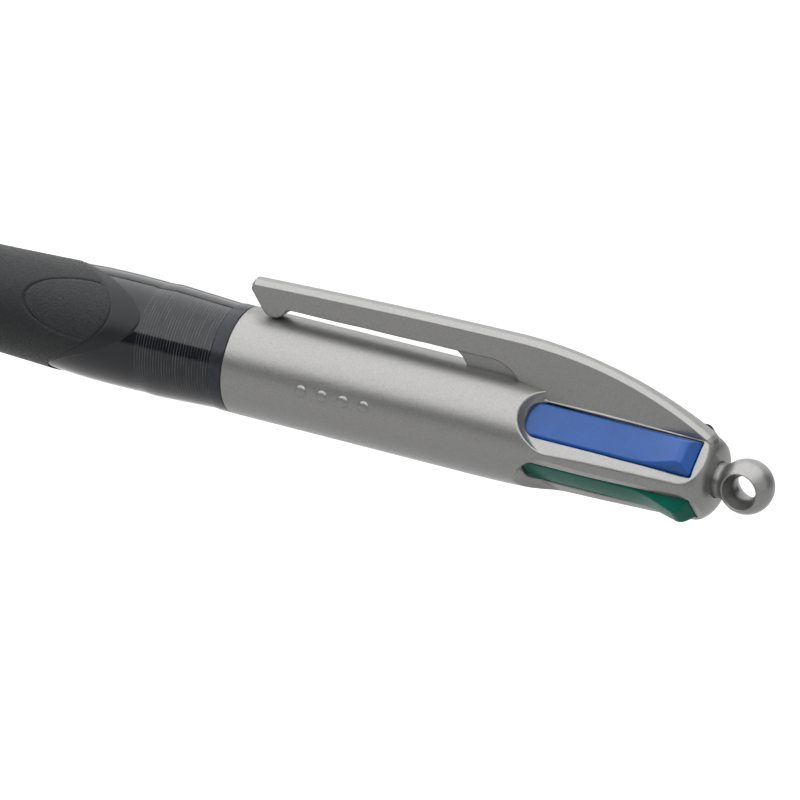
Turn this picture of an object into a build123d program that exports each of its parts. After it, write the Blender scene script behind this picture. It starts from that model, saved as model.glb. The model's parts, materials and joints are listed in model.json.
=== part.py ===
from build123d import *
import math
import os

# Four-colour click pen, in millimetres.
# The pen lies along X: its lanyard ball is centred on the origin and its writing end is at -X.
# The clip points up (+Z) and the hole through the lanyard ball runs along Y.

# ---- driving dimensions -------------------------------------------------------------------
OVERALL_LENGTH = 147.0
COLOURS = ("blue", "green", "red", "black")
FIRST_SLOT_ANGLE = 45.0            # turn of the blue slide about X, away from the clip
SLOT_PITCH_ANGLE = 90.0
REFILL_RADIUS = 2.9                # distance of each refill from the pen's axis
TRAVEL = 10.5                      # stroke of a slide
POINT_REACH = 2.5                  # how far a point stands out of the nose when it is out
RUNNING_GAP = 0.05                 # radial clearance of sliding fits
OVERRUN = 1.0                      # how far a cutter passes the face that it cuts

# lanyard ball
BALL_RADIUS = 3.06
BALL_BORE_RADIUS = 1.3
BALL_DISH_RADIUS = 2.05
BALL_DISH_FLOOR = 0.35             # half-length of the straight part of the bore
NECK_RADIUS = 2.0
BALL_STEM_RADIUS = 1.3
BALL_STEM_END = -10.0
STEM_GAP = 0.01                    # radial clearance of the stem in the core

# upper barrel
BARREL_RADIUS = 6.1
BARREL_START = -61.6               # its open end, against the trim ring
SHOULDER = -29.5                   # where the barrel begins to taper
HOOD_START = -6.2                  # where the taper turns into the domed end
HOOD_START_RADIUS = 5.21
HOOD_END = -2.9
HOOD_END_RADIUS = 2.5
MAIN_BORE_RADIUS = 4.9
HOOD_BORE_RADIUS = 4.4
HOOD_BORE_START = -26.4
HOOD_WALL_START = -4.85
SOCKET_RADIUS = 5.25               # wider bore that takes the spigot's tail and the spring plate
SOCKET_END = -53.8
SOCKET_GAP = 0.01                  # radial clearance of the spigot's tail in the socket

# flat pocket and slot of each slide
FLAT_HEIGHT = 4.35                 # distance of the flat from the pen's axis
POCKET_HALF_WIDTH = 3.9
POCKET_START = -25.7
SLOT_HALF_WIDTH = 2.2
SLOT_START = -26.6
SLOT_END = -4.8
PIP_COUNT = 4
PIP_RADIUS = 0.7
PIP_HEIGHT = 0.18
PIP_BED = 5.8                      # the pips start this far from the axis, inside the wall
PIP_SPACING = 2.6
PIP_FIRST = -51.6
PIP_TURN = 84.0                    # angle about X, away from the clip

# clip, seen from the side as (x, z) points
CLIP_TIP_TOP = (-60.8, 10.0)
CLIP_BACK_MIDDLE = (-44.0, 10.8)
CLIP_CREST = (-28.7, 11.17)
CLIP_TAIL = (-4.7, 5.25)
CLIP_FIN_REAR = -4.0
CLIP_FIN_FRONT = -27.4
CLIP_FIN_FLOOR = 4.2               # the fin reaches this far down into the barrel's wall
CLIP_ROOT = ((-27.6, 5.9), (-29.1, 7.3), (-31.6, 7.8))
CLIP_FOOT_START = ((-56.0, 7.5), (-56.5, 7.35))
CLIP_FOOT = ((-56.5, 7.35), (-57.9, 6.25), (-59.4, 6.9))
CLIP_TIP_BOTTOM = (-61.2, 9.35)
CLIP_WEB_CURVE = ((-36.4, 7.9), (-35.0, 7.1), (-34.1, 5.8))
CLIP_WEB_FLOOR = 5.5
CLIP_WEB_TOP = 9.0
CLIP_WEB_REAR = -26.0
CLIP_TOP_LIMIT = 20.0              # any height above the clip
CLIP_HALF_WIDTH = 1.2
CLIP_WEB_HALF_WIDTH = 0.85
CLIP_CHAMFER_SIDE = 0.7
CLIP_CHAMFER_DROP = 0.42
CROWN_EDGE_LENGTH = 20.0           # the crown's edges are the only curves longer than this
CLIP_FLEX_X = -36.6                # the arm bends here

# slides
SLIDE_HALF_WIDTH = 2.1
SLIDE_FLOOR = 2.85
SLIDE_TOP = 4.25
SLIDE_REAR = -4.95
SLIDE_FRONT = -33.0
SLIDE_EDGE = 0.35
THUMB_START = -10.6
THUMB_LIP = (-7.2, 5.3)            # end of the pad's hollow
THUMB_TOP = 5.45
THUMB_REAR = ((-6.4, THUMB_TOP), (-5.8, 5.33), (-5.5, 4.9))
THUMB_BEVEL = 0.8
BOSS_RADIUS = 1.6
BOSS_START = -38.0
BOSS_END = -30.0
COLLAR_RADIUS = 1.85
COLLAR_LENGTH = 0.8
PEG_RADIUS = 0.93
PEG_LENGTH = 5.0

# guide core
CORE_HALF_WIDTH = 2.75
CORE_WEB = 0.8
CORE_WEB_RADIUS = 4.35
CORE_START = -29.6
CORE_END = -4.9

# spring plate and springs
PLATE_THICKNESS = 1.2
PLATE_HOLE_RADIUS = 1.55
SPRING_RADIUS = 1.72               # to the middle of the wire
SPRING_WIRE = 0.15
SPRING_TURNS = 9
SPRING_GAP = 0.05

# refills
TUBE_RADIUS = 1.4
TUBE_BORE = 0.95
TUBE_LENGTH = 86.0
INK_GAP = 0.02
INK_LENGTH = 62.0
HOLDER_RADIUS = 1.15
HOLDER_SHANK = 4.0
HOLDER_CYLINDER = 9.3
HOLDER_TIP_RADIUS = 0.42
BALL_POINT_RADIUS = 0.4
BALL_GAP = 0.01
BALL_POINT_SHOWS = 0.3             # how far the ball stands out of its holder

# trim ring, spigot and its thread
TRIM_WIDTH = 1.7
TRIM_RADIUS = 6.1
TRIM_GAP = 0.02                    # between the ring's faces and the two barrels
SPIGOT_BORE = 4.42
SPIGOT_END = -72.3
THREAD_PITCH = 1.0
THREAD_START = -73.0
THREAD_LENGTH = 9.5
THREAD_LEAD = 0.15                 # how far the cutters start outside the metal
SPIGOT_RADIUS = 5.27               # outside of the spigot, and the crest of its thread
SPIGOT_ROOT_RADIUS = 5.0
SPIGOT_GROOVE_MOUTH = 0.60
SPIGOT_GROOVE_FLOOR = 0.40
SLEEVE_CREST_RADIUS = 5.07         # inside of the lower barrel's thread
SLEEVE_ROOT_RADIUS = 5.34
SLEEVE_GROOVE_MOUTH = 0.75
SLEEVE_GROOVE_FLOOR = 0.50

# lower barrel and grip
SLEEVE_MOUTH_RADIUS = 6.0
SLEEVE_MOUTH_SLOPE = 0.04
SLEEVE_THREAD_START = -64.4
SLEEVE_BORE_END = -72.6
REFILL_BORE = 4.45
REFILL_BORE_END = -124.5
NOSE_BORE_START = -126.0
SWELL_X = -76.0
SWELL_RADIUS = 6.3
WAIST_X = -112.0
WAIST_RADIUS = 5.6
GRIP_END = -131.0
GRIP_END_RADIUS = 5.5
GRIP_THICKNESS = 0.7
NOSE_START_RADIUS = 5.0
NOSE_HOLE_RADIUS = 1.3
NOSE_HOLE_LENGTH = 0.9
NOSE_RIM_RADIUS = 1.85
NOSE_RIM_CHAMFER = 0.3
NOSE_CONE_X = -134.0               # the bore starts to close in here
NOSE_BORE = 4.15
PETAL_TIP = -72.95                 # the grip's two petals reach this far up the barrel
PETAL_DEPTH = 12.0                 # and fall back by this much between them
PETAL_REACH = 3.0                  # half-width of the parabola that cuts them, in radii
PETAL_TURN = 56.0                  # turn of the petals about X, away from the clip

BARREL_END = BARREL_START - TRIM_WIDTH
NOSE_END = BALL_RADIUS - OVERALL_LENGTH
POINT_AT_REST = NOSE_END - POINT_REACH + TRAVEL
TUBE_END = BOSS_START - TUBE_LENGTH
PLATE_END = SOCKET_END
PLATE_START = PLATE_END - PLATE_THICKNESS


# ---- helpers ------------------------------------------------------------------------------
def write(node, solid):
    """Write one node to its STEP file."""
    export_step(solid, f"parts/{node}.step")


def turned(outline):
    """A solid of revolution about X from a closed list of (x, radius) points."""
    return revolve(make_face(Polyline(*outline, close=True)), Axis.X)


def rod(x0, x1, radius):
    """A cylinder along X from x0 to x1."""
    low = min(x0, x1)
    return Pos(low, 0, 0) * Rot(Y=90) * extrude(Circle(radius), abs(x1 - x0))


def offset_rod(x0, x1, radius):
    """A cylinder along X at the refills' distance above the axis."""
    return Pos(0, 0, REFILL_RADIUS) * rod(x0, x1, radius)


def block(x0, x1, half_width, z0, z1):
    """A box from x0 to x1, centred on Y."""
    middle = Pos((x0 + x1) / 2, 0, (z0 + z1) / 2)
    return middle * Box(x1 - x0, 2 * half_width, z1 - z0)


def slot_turn(index):
    """Turn a shape built under the clip to the place of one colour."""
    return Rot(X=FIRST_SLOT_ANGLE + SLOT_PITCH_ANGLE * index)


def helical_groove(mouth, floor, mouth_width, floor_width, x0, length):
    """A cutter for one thread groove, from the radius of its mouth to that of its floor."""
    path = Helix(THREAD_PITCH, length, mouth, center=(x0, 0, 0), direction=(1, 0, 0))
    start = path @ 0
    outward = Vector(0, start.Y, start.Z).normalized()
    plane = Plane(origin=start, x_dir=outward, z_dir=path % 0)
    depth = floor - mouth
    lead = -math.copysign(THREAD_LEAD, depth)
    half_lead = mouth_width / 2 + THREAD_LEAD / 3
    section = plane * make_face(Polyline(
        (lead, -half_lead),
        (depth, -floor_width / 2),
        (depth, floor_width / 2),
        (lead, half_lead),
        close=True,
    ))
    return sweep(section, path, is_frenet=True)


# ---- upper barrel and clip ----------------------------------------------------------------
def clip_profile():
    """The side view of the whole clip and its fin, in the XZ plane."""
    back = ThreePointArc(CLIP_TIP_TOP, CLIP_BACK_MIDDLE, CLIP_CREST)
    rear = (CLIP_FIN_REAR, CLIP_FIN_FLOOR)
    front = (CLIP_FIN_FRONT, CLIP_FIN_FLOOR)
    outline = [
        back,
        TangentArc(CLIP_CREST, CLIP_TAIL, tangent=back % 1),
        Polyline(CLIP_TAIL, rear, front, CLIP_ROOT[0]),
        ThreePointArc(*CLIP_ROOT),
        Polyline(CLIP_ROOT[-1], *CLIP_FOOT_START),
        ThreePointArc(*CLIP_FOOT),
        Polyline(CLIP_FOOT[-1], CLIP_TIP_BOTTOM, CLIP_TIP_TOP),
    ]
    return Plane.XZ * make_face(Curve() + outline)


def clip_web():
    """The narrow web between the fin and the barrel, ahead of the fin's root."""
    start = CLIP_WEB_CURVE[0]
    end = CLIP_WEB_CURVE[-1]
    outline = [
        ThreePointArc(*CLIP_WEB_CURVE),
        Polyline(
            end,
            (end[0], CLIP_WEB_FLOOR),
            (CLIP_WEB_REAR, CLIP_WEB_FLOOR),
            (CLIP_WEB_REAR, CLIP_WEB_TOP),
            (start[0], CLIP_WEB_TOP),
            start,
        ),
    ]
    face = Plane.XZ * make_face(Curve() + outline)
    return extrude(face, CLIP_WEB_HALF_WIDTH, both=True)


def whole_clip():
    """The clip and its fin in one piece, with a chamfered crown."""
    body = extrude(clip_profile(), CLIP_HALF_WIDTH, both=True)
    crown = [
        edge
        for edge in body.edges()
        if edge.geom_type != GeomType.LINE and edge.length > CROWN_EDGE_LENGTH
    ]
    return chamfer(crown, CLIP_CHAMFER_DROP, CLIP_CHAMFER_SIDE)


def barrel_shell():
    """The turned outside of the upper barrel, less its stepped bore."""
    outline = [
        Line((BARREL_START, 0), (BARREL_START, BARREL_RADIUS)),
        Line((BARREL_START, BARREL_RADIUS), (SHOULDER, BARREL_RADIUS)),
        Line((SHOULDER, BARREL_RADIUS), (HOOD_START, HOOD_START_RADIUS)),
    ]
    taper_end = outline[-1] % 1
    outline += [
        TangentArc(
            (HOOD_START, HOOD_START_RADIUS), (HOOD_END, HOOD_END_RADIUS), tangent=taper_end
        ),
        Line((HOOD_END, HOOD_END_RADIUS), (HOOD_END, 0)),
        Line((HOOD_END, 0), (BARREL_START, 0)),
    ]
    return revolve(make_face(Curve() + outline), Axis.X)


def barrel_bore():
    """What is taken out of the inside of the upper barrel."""
    bore = rod(BARREL_START - OVERRUN, SOCKET_END, SOCKET_RADIUS)
    bore += rod(BARREL_START, HOOD_BORE_START, MAIN_BORE_RADIUS)
    bore += rod(BARREL_START, HOOD_WALL_START, HOOD_BORE_RADIUS)
    return bore + rod(HOOD_WALL_START - OVERRUN, 0, NECK_RADIUS)


def slide_pocket():
    """The flat pocket round one slot, with a round front end."""
    centre = POCKET_START + POCKET_HALF_WIDTH
    front = Pos(centre, 0) * Circle(POCKET_HALF_WIDTH)
    rest = Pos(centre / 2, 0) * Rectangle(-centre, 2 * POCKET_HALF_WIDTH)
    return Pos(0, 0, FLAT_HEIGHT) * extrude(front + rest, BARREL_RADIUS)


def upper_barrel():
    """The silver barrel with its four pockets and slots, its pips and the fin of the clip."""
    shell = barrel_shell()
    for index in range(len(COLOURS)):
        shell -= slot_turn(index) * slide_pocket()
    shell += whole_clip() & block(CLIP_FLEX_X, 0, BARREL_RADIUS, 0, CLIP_TOP_LIMIT)
    shell += clip_web()
    shell -= barrel_bore()
    slot = block(SLOT_START, SLOT_END, SLOT_HALF_WIDTH, SLIDE_FLOOR, FLAT_HEIGHT + RUNNING_GAP)
    for index in range(len(COLOURS)):
        shell -= slot_turn(index) * slot
    for index in range(PIP_COUNT):
        x = PIP_FIRST + PIP_SPACING * index
        pip = Pos(x, 0, PIP_BED) * extrude(Circle(PIP_RADIUS), BARREL_RADIUS + PIP_HEIGHT - PIP_BED)
        shell += Rot(X=PIP_TURN) * pip
    return shell


def clip_arm():
    """The free arm of the clip, ahead of the line where it bends."""
    return whole_clip() & block(SPIGOT_END, CLIP_FLEX_X, BARREL_RADIUS, 0, CLIP_TOP_LIMIT)


def lanyard_ring():
    """The dished ball with its bore, and the stem that holds it in the core."""
    ball = Sphere(BALL_RADIUS)
    ball += rod(HOOD_WALL_START, 0, NECK_RADIUS - RUNNING_GAP)
    ball += rod(BALL_STEM_END, 0, BALL_STEM_RADIUS)
    dish_start = math.sqrt(BALL_RADIUS**2 - BALL_DISH_RADIUS**2)
    half = make_face(Polyline(
        (0, 0),
        (BALL_BORE_RADIUS, 0),
        (BALL_BORE_RADIUS, BALL_DISH_FLOOR),
        (BALL_DISH_RADIUS, dish_start),
        (BALL_DISH_RADIUS, BALL_RADIUS + OVERRUN),
        (0, BALL_RADIUS + OVERRUN),
        close=True,
    ))
    cutter = revolve(half, Axis.Y)
    return ball - cutter - mirror(cutter, Plane.XZ)


# ---- inside the upper barrel --------------------------------------------------------------
def guide_core():
    """A square post with four thin webs that part the slides."""
    length = CORE_END - CORE_START
    middle = (CORE_START + CORE_END) / 2
    core = Pos(middle, 0, 0) * Rot(X=FIRST_SLOT_ANGLE) * Box(
        length, 2 * CORE_HALF_WIDTH, 2 * CORE_HALF_WIDTH
    )
    for turn in (0, SLOT_PITCH_ANGLE):
        core += Pos(middle, 0, 0) * Rot(X=turn) * Box(length, 2 * CORE_WEB_RADIUS, CORE_WEB)
    core &= rod(CORE_START, CORE_END, CORE_WEB_RADIUS)
    return core - rod(BALL_STEM_END - OVERRUN, CORE_END + OVERRUN, BALL_STEM_RADIUS + STEM_GAP)


def spring_plate():
    """The round plate with four holes that the springs stand on."""
    plate = rod(PLATE_START, PLATE_END, SOCKET_RADIUS - RUNNING_GAP)
    for index in range(len(COLOURS)):
        plate -= slot_turn(index) * offset_rod(PLATE_START - OVERRUN, PLATE_END + OVERRUN, PLATE_HOLE_RADIUS)
    return plate


def slide():
    """One thumb slide, built under the clip: a slab, its thumb pad, and a boss for the refill."""
    outline = [
        Line((SLIDE_FRONT, SLIDE_FLOOR), (SLIDE_FRONT, SLIDE_TOP)),
        Line((SLIDE_FRONT, SLIDE_TOP), (THUMB_START, SLIDE_TOP)),
        TangentArc((THUMB_START, SLIDE_TOP), THUMB_LIP, tangent=(1, 0)),
        Line(THUMB_LIP, THUMB_REAR[0]),
        ThreePointArc(*THUMB_REAR),
        Line(THUMB_REAR[-1], (SLIDE_REAR, SLIDE_TOP)),
        Line((SLIDE_REAR, SLIDE_TOP), (SLIDE_REAR, SLIDE_FLOOR)),
        Line((SLIDE_REAR, SLIDE_FLOOR), (SLIDE_FRONT, SLIDE_FLOOR)),
    ]
    side = Plane.XZ * make_face(Curve() + outline)
    body = extrude(side, SLIDE_HALF_WIDTH, both=True)
    wedge = make_face(Polyline(
        (-SLIDE_HALF_WIDTH, SLIDE_FLOOR),
        (-SLIDE_HALF_WIDTH, SLIDE_TOP - SLIDE_EDGE),
        (THUMB_BEVEL - SLIDE_HALF_WIDTH, THUMB_TOP),
        (SLIDE_HALF_WIDTH - THUMB_BEVEL, THUMB_TOP),
        (SLIDE_HALF_WIDTH, SLIDE_TOP - SLIDE_EDGE),
        (SLIDE_HALF_WIDTH, SLIDE_FLOOR),
        close=True,
    ))
    section = Plane(origin=(SLIDE_FRONT, 0, 0), x_dir=(0, 1, 0), z_dir=(1, 0, 0)) * wedge
    body &= extrude(section, SLIDE_REAR - SLIDE_FRONT)
    body += offset_rod(BOSS_START, BOSS_END, BOSS_RADIUS)
    body += offset_rod(BOSS_START, BOSS_START + COLLAR_LENGTH, COLLAR_RADIUS)
    return body + offset_rod(BOSS_START - PEG_LENGTH, BOSS_START, PEG_RADIUS)


def spring():
    """One return spring, between the spring plate and the slide's collar."""
    x0 = PLATE_END + SPRING_GAP + SPRING_WIRE
    x1 = BOSS_START - SPRING_GAP - SPRING_WIRE
    path = Helix(
        (x1 - x0) / SPRING_TURNS,
        x1 - x0,
        SPRING_RADIUS,
        center=(x0, 0, REFILL_RADIUS),
        direction=(1, 0, 0),
    )
    section = Plane(origin=path @ 0, z_dir=path % 0) * Circle(SPRING_WIRE)
    return sweep(section, path, is_frenet=True)


# ---- refills ------------------------------------------------------------------------------
def ink_tube():
    """The plastic tube that holds the ink."""
    tube = offset_rod(TUBE_END, BOSS_START - RUNNING_GAP, TUBE_RADIUS)
    return tube - offset_rod(TUBE_END - OVERRUN, BOSS_START + OVERRUN, TUBE_BORE)


def ink_column():
    """The ink, from the point holder up to its level in the tube."""
    start = TUBE_END + HOLDER_SHANK + RUNNING_GAP
    return offset_rod(start, start + INK_LENGTH, TUBE_BORE - INK_GAP)


def point_holder():
    """The metal socket that carries the ball, pushed into the tube."""
    tip = POINT_AT_REST + BALL_POINT_SHOWS
    holder = turned([
        (TUBE_END + HOLDER_SHANK, 0),
        (TUBE_END + HOLDER_SHANK, TUBE_BORE - INK_GAP),
        (TUBE_END - RUNNING_GAP, TUBE_BORE - INK_GAP),
        (TUBE_END - RUNNING_GAP, HOLDER_RADIUS),
        (TUBE_END - HOLDER_CYLINDER, HOLDER_RADIUS),
        (tip, HOLDER_TIP_RADIUS),
        (tip, 0),
    ])
    holder -= Pos(POINT_AT_REST + BALL_POINT_RADIUS, 0, 0) * Sphere(BALL_POINT_RADIUS + BALL_GAP)
    return Pos(0, 0, REFILL_RADIUS) * holder


def writing_ball():
    """The ball at the very tip of one refill."""
    return Pos(POINT_AT_REST + BALL_POINT_RADIUS, 0, REFILL_RADIUS) * Sphere(BALL_POINT_RADIUS)


# ---- lower barrel -------------------------------------------------------------------------
def trim_ring():
    """The dark ring between the two barrels, which moves with the lower one as it unscrews."""
    ring = rod(BARREL_END + TRIM_GAP, BARREL_START - TRIM_GAP, TRIM_RADIUS)
    return ring - rod(BARREL_END - OVERRUN, BARREL_START + OVERRUN, SPIGOT_RADIUS + RUNNING_GAP)


def threaded_spigot():
    """The threaded tube that is pressed into the upper barrel."""
    tube = rod(SPIGOT_END, BARREL_START, SPIGOT_RADIUS)
    tube += rod(BARREL_START, PLATE_START - TRIM_GAP, SOCKET_RADIUS - SOCKET_GAP)
    tube -= rod(SPIGOT_END - OVERRUN, PLATE_START + OVERRUN, SPIGOT_BORE)
    return tube - helical_groove(
        SPIGOT_RADIUS,
        SPIGOT_ROOT_RADIUS,
        SPIGOT_GROOVE_MOUTH,
        SPIGOT_GROOVE_FLOOR,
        THREAD_START,
        THREAD_LENGTH,
    )


def sleeve_outline():
    """The outside of the lower barrel and grip together, as (x, radius) points and curves."""
    return [
        Line((BARREL_END, 0), (BARREL_END, SLEEVE_MOUTH_RADIUS)),
        Spline(
            (BARREL_END, SLEEVE_MOUTH_RADIUS),
            (SWELL_X, SWELL_RADIUS),
            (WAIST_X, WAIST_RADIUS),
            (GRIP_END, GRIP_END_RADIUS),
            tangents=[(-1, SLEEVE_MOUTH_SLOPE), (-1, 0)],
        ),
        Line((GRIP_END, GRIP_END_RADIUS), (GRIP_END, 0)),
        Line((GRIP_END, 0), (BARREL_END, 0)),
    ]


def petal_region():
    """All that lies on the writing side of the grip's petal edge."""
    reach = PETAL_REACH * SWELL_RADIUS
    fall = PETAL_DEPTH * PETAL_REACH**2
    edge = Bezier(
        (PETAL_TIP - fall, -reach),
        (PETAL_TIP + fall, 0),
        (PETAL_TIP - fall, reach),
    )
    face = make_face(Curve() + [edge, Line((PETAL_TIP - fall, reach), (PETAL_TIP - fall, -reach))])
    return Rot(X=PETAL_TURN) * extrude(face, 2 * SWELL_RADIUS, both=True)


def grip_blank():
    """The rubber skin over the lower barrel, before its petals are cut."""
    skin = revolve(make_face(Curve() + sleeve_outline()), Axis.X)
    inside = [
        (PETAL_TIP + OVERRUN, 0),
        (PETAL_TIP + OVERRUN, SWELL_RADIUS - GRIP_THICKNESS),
        (SWELL_X, SWELL_RADIUS - GRIP_THICKNESS),
        (WAIST_X, WAIST_RADIUS - GRIP_THICKNESS),
        (GRIP_END - OVERRUN, GRIP_END_RADIUS - GRIP_THICKNESS),
        (GRIP_END - OVERRUN, 0),
    ]
    return skin - turned(inside)


def rubber_grip():
    """The soft grip with two pointed petals."""
    return grip_blank() & petal_region()


def nose():
    """The writing end of the lower barrel."""
    start = (GRIP_END, NOSE_START_RADIUS)
    rim = (NOSE_END + NOSE_RIM_CHAMFER, NOSE_RIM_RADIUS)
    outline = [
        TangentArc(start, rim, tangent=(-1, 0)),
        Polyline(rim, (NOSE_END, NOSE_RIM_RADIUS - NOSE_RIM_CHAMFER), (NOSE_END, 0)),
        Polyline((NOSE_END, 0), (GRIP_END, 0), start),
    ]
    return revolve(make_face(Curve() + outline), Axis.X)


def lower_barrel_bore():
    """The inside of the lower barrel, down to the hole that the points come out of."""
    return turned([
        (BARREL_END + OVERRUN, 0),
        (BARREL_END + OVERRUN, SLEEVE_ROOT_RADIUS),
        (SLEEVE_THREAD_START, SLEEVE_ROOT_RADIUS),
        (SLEEVE_THREAD_START, SLEEVE_CREST_RADIUS),
        (SLEEVE_BORE_END, SLEEVE_CREST_RADIUS),
        (SLEEVE_BORE_END, REFILL_BORE),
        (REFILL_BORE_END, REFILL_BORE),
        (NOSE_BORE_START, NOSE_BORE),
        (NOSE_CONE_X, NOSE_BORE),
        (NOSE_END + NOSE_HOLE_LENGTH, NOSE_HOLE_RADIUS),
        (NOSE_END - OVERRUN, NOSE_HOLE_RADIUS),
        (NOSE_END - OVERRUN, 0),
    ])


def lower_barrel(grip):
    """The smoke barrel, with the grip's bed cut into it and its nose."""
    barrel = revolve(make_face(Curve() + sleeve_outline()), Axis.X) - grip
    barrel += nose()
    barrel -= lower_barrel_bore()
    return barrel - helical_groove(
        SLEEVE_CREST_RADIUS,
        SLEEVE_ROOT_RADIUS,
        SLEEVE_GROOVE_MOUTH,
        SLEEVE_GROOVE_FLOOR,
        THREAD_START + THREAD_PITCH / 2,
        THREAD_LENGTH,
    )


# ---- the nodes ----------------------------------------------------------------------------
def main():
    os.makedirs("parts", exist_ok=True)
    write("upper_barrel", upper_barrel())
    write("clip_arm", clip_arm())
    write("lanyard_ring", lanyard_ring())
    write("guide_core", guide_core())
    write("spring_plate", spring_plate())
    write("trim_ring", trim_ring())
    write("threaded_spigot", threaded_spigot())
    grip = rubber_grip()
    write("rubber_grip", grip)
    write("lower_barrel", lower_barrel(grip))
    pieces = {
        "slide": slide(),
        "return_spring": spring(),
        "ink_tube": ink_tube(),
        "ink_column": ink_column(),
        "point_holder": point_holder(),
        "writing_ball": writing_ball(),
    }
    for index, colour in enumerate(COLOURS):
        for name, piece in pieces.items():
            write(f"{name}_{colour}", slot_turn(index) * piece)


main()
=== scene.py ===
"""Looks of the four-colour click pen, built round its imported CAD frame.

The pen lies along X with its lanyard ball at the origin and its writing end at -X, the clip is
up (+Z), and an angle "turn" is measured about X from the clip towards -Y.
"""

import json
import math

import bpy
import numpy as np
from mathutils import Matrix, Vector

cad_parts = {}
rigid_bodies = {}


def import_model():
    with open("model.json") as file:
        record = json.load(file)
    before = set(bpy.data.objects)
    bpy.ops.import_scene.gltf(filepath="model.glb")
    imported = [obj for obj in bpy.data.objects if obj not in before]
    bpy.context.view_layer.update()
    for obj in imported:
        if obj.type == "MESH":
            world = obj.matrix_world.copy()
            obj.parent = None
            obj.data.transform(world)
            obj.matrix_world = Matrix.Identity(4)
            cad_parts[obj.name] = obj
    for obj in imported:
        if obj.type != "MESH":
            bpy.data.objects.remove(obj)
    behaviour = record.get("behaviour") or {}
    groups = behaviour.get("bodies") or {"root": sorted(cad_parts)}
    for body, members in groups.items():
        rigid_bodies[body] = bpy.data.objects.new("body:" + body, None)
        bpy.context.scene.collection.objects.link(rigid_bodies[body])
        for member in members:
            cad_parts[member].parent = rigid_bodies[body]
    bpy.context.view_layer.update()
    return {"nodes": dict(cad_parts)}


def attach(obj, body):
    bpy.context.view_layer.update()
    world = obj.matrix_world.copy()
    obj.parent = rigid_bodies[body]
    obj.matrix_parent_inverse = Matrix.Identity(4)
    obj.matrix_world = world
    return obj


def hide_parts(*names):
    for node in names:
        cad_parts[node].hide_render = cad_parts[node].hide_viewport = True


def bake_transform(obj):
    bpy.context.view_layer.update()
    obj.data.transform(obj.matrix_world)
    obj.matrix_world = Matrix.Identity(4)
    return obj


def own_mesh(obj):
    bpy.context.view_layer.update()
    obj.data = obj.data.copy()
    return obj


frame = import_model()

MM = 0.001
COLOURS = ("blue", "green", "red", "black")
SLOT_TURNS = {colour: 45.0 + 90.0 * i for i, colour in enumerate(COLOURS)}

# ---- main sizes: the CAD's, or within a few tenths of a millimetre of it --------------------
BALL_R = 3.06
BARREL_R = 6.1
BARREL_START = -61.6
SHOULDER = -29.5                       # the bend from the straight barrel to the tapered hood
HOOD_START, HOOD_START_R = -6.2, 5.21  # where the taper turns into the domed end
HOOD_END, HOOD_END_R = -3.3, 2.6
MAIN_BORE_R, HOOD_BORE_R, SOCKET_R = 4.9, 4.4, 5.25
HOOD_BORE_START, HOOD_WALL, SOCKET_END = -26.4, -4.85, -53.8
NECK_R = 2.0
FLAT_HEIGHT = 4.35                     # the pockets' flat floors, from the pen's axis
POCKET_START, POCKET_HALF = -25.1, 3.9
SLOT_START, SLOT_END, SLOT_HALF, SLOT_CORNER = -25.25, -4.88, 2.2, 1.8
CLIP_HALF = 1.2
TRIM_START, TRIM_END = -61.62, -63.28
SLEEVE_START = -63.3
GRIP_END = -131.0
NOSE_END = -143.94
STEM_OUT = 2.9                         # the slides' stems and springs, from the pen's axis


# ---- small numeric helpers ----------------------------------------------------------------
SAME_POINT = 1e-6


def smax(a, b, width):
    """The larger of two fields, rounded off where they are within width of each other."""
    near = np.clip(width - np.abs(a - b), 0, None) / width
    return np.maximum(a, b) + near * near * width * 0.25


def smin(a, b, width):
    """The smaller of two fields, rounded off in the same way."""
    return -smax(-a, -b, width)


def arc_points(centre, radius, start, sweep, count):
    """Points along a circle from the angle start, over the angle sweep."""
    angles = [start + sweep * i / count for i in range(count + 1)]
    return [(centre[0] + radius * math.cos(a), centre[1] + radius * math.sin(a)) for a in angles]


def arc3(p0, p1, p2, count):
    """Points along the circle through three points."""
    (ax, ay), (bx, by), (cx, cy) = p0, p1, p2
    d = 2 * (ax * (by - cy) + bx * (cy - ay) + cx * (ay - by))
    a2, b2, c2 = ax * ax + ay * ay, bx * bx + by * by, cx * cx + cy * cy
    ux = (a2 * (by - cy) + b2 * (cy - ay) + c2 * (ay - by)) / d
    uy = (a2 * (cx - bx) + b2 * (ax - cx) + c2 * (bx - ax)) / d
    radius = math.hypot(ax - ux, ay - uy)
    t0 = math.atan2(ay - uy, ax - ux)
    t1 = math.atan2(by - uy, bx - ux)
    t2 = math.atan2(cy - uy, cx - ux)
    if (t1 - t0) % math.tau > (t2 - t0) % math.tau:
        sweep = -((t0 - t2) % math.tau)
    else:
        sweep = (t2 - t0) % math.tau
    return arc_points((ux, uy), radius, t0, sweep, count)


def tangent_arc(p0, p1, direction, count):
    """Points along the circle that leaves p0 along direction and ends at p1."""
    dx, dy = direction
    length = math.hypot(dx, dy)
    nx, ny = -dy / length, dx / length
    ex, ey = p1[0] - p0[0], p1[1] - p0[1]
    radius = (ex * ex + ey * ey) / (2 * (ex * nx + ey * ny))
    cx, cy = p0[0] + nx * radius, p0[1] + ny * radius
    t0 = math.atan2(p0[1] - cy, p0[0] - cx)
    t1 = math.atan2(p1[1] - cy, p1[0] - cx)
    sweep = (t1 - t0 + math.pi) % math.tau - math.pi
    return arc_points((cx, cy), abs(radius), t0, sweep, count)


def chain(*runs):
    """Runs of points joined into one list, without doubled points."""
    out = []
    for run in runs:
        for p in run:
            if not out or math.dist(out[-1], p) > SAME_POINT:
                out.append(p)
    return out


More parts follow.
